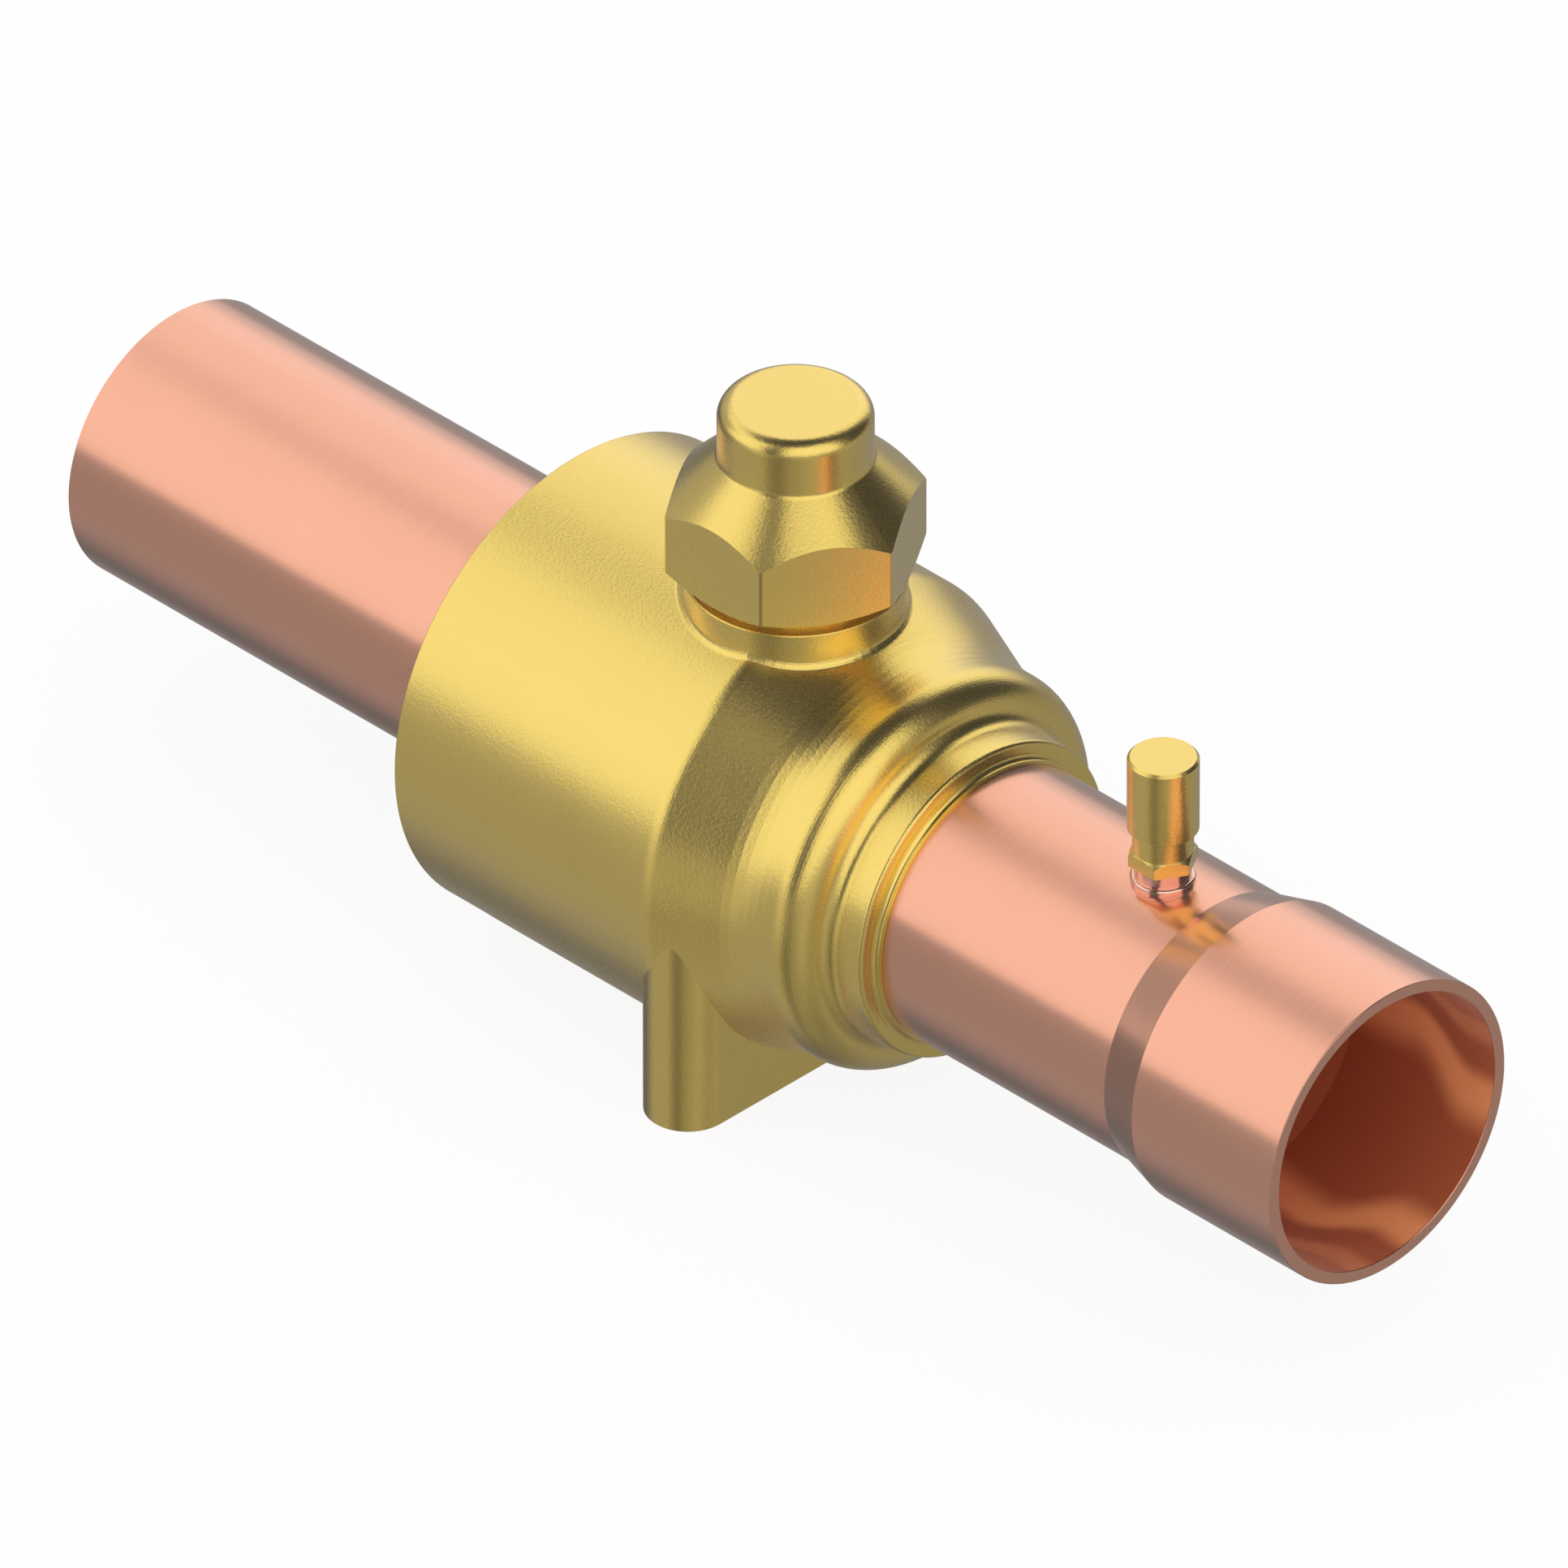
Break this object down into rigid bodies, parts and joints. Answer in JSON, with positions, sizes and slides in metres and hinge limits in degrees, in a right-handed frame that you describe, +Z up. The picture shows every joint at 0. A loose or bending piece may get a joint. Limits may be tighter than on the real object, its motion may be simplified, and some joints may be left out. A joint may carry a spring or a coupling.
{
  "type": "shut-off ball valve",
  "caption": "Brass shut-off ball valve with copper solder ends, a hexagonal seal cap over the stem, a mounting foot and an access valve on the outlet tube.",
  "frame": {"origin": "on the mounting plane, straight below the stem's axis", "axes": "+X along the flow towards the soldering bell, +Y across the flow along the foot, +Z up along the stem"},
  "size_m": [0.304, 0.092, 0.1294],
  "materials": {
    "forged_brass": "blasted satin",
    "turned_brass": "satin",
    "copper": "drawn copper, finely brushed round the tube",
    "filler": "satin",
    "chrome": "polished",
    "steel": "turned",
    "rubber": "matt",
    "ptfe": "smooth"
  },
  "bodies": {
    "valve": {"valve_body": "forged_brass", "closure": "forged_brass", "closure_ring": "rubber", "inlet_tube": "copper", "outlet_tube": "copper", "inlet_braze": "filler", "outlet_braze": "filler", "inlet_seat": "ptfe", "outlet_seat": "ptfe", "inlet_seat_ring": "rubber", "outlet_seat_ring": "rubber", "thrust_washer": "ptfe", "packing": "ptfe", "gland_nut": "turned_brass", "access_stub": "copper", "access_fitting": "turned_brass", "core_body": "turned_brass", "core_seal": "ptfe", "core_spring": "steel"},
    "ball": {"ball": "chrome"},
    "stem": {"stem": "steel", "stem_rings": "rubber", "stop_pin": "steel"},
    "cap_gasket": {"cap_gasket": "ptfe"},
    "seal_cap": {"seal_cap": "turned_brass"},
    "access_gasket": {"access_gasket": "rubber"},
    "access_cap": {"access_cap": "turned_brass"},
    "core_pin": {"core_pin": "steel", "core_washer": "rubber"}
  },
  "joints": [
    {"name": "ball_turn", "type": "hinge", "parent": "valve", "child": "ball", "pos_m": [0, 0, 0.0452], "axis": [0, 0, 1], "range_deg": [0, 90]},
    {"name": "stem_turn", "type": "hinge", "parent": "valve", "child": "stem", "pos_m": [0, 0, 0.0952], "axis": [0, 0, 1], "range_deg": [0, 90]},
    {"name": "seal_cap_lift", "type": "slide", "parent": "valve", "child": "cap_gasket", "axis": [0, 0, 1], "range_m": [0, 0.0321]},
    {"name": "seal_cap_turn", "type": "hinge", "parent": "cap_gasket", "child": "seal_cap", "pos_m": [0, 0, 0.1], "axis": [0, 0, 1], "range_deg": [0, 5760]},
    {"name": "access_cap_lift", "type": "slide", "parent": "valve", "child": "access_gasket", "axis": [0, 0, 1], "range_m": [0, 0.0153]},
    {"name": "access_cap_turn", "type": "hinge", "parent": "access_gasket", "child": "access_cap", "pos_m": [0.0916, 0, 0.09], "axis": [0, 0, 1], "range_deg": [0, 4320]},
    {"name": "core_pin_press", "type": "slide", "parent": "valve", "child": "core_pin", "axis": [0, 0, -1], "range_m": [0, 0.0012], "stiffness_N_per_m": 400, "springref_m": -0.001, "deforming": ["core_spring"]}
  ],
  "couplings": [
    {"joint": "stem_turn", "follows": "ball_turn", "ratio": 1},
    {"joint": "seal_cap_lift", "follows": "seal_cap_turn", "m_per_rad": 0.00031831},
    {"joint": "access_cap_lift", "follows": "access_cap_turn", "m_per_rad": 0.00020213}
  ]
}
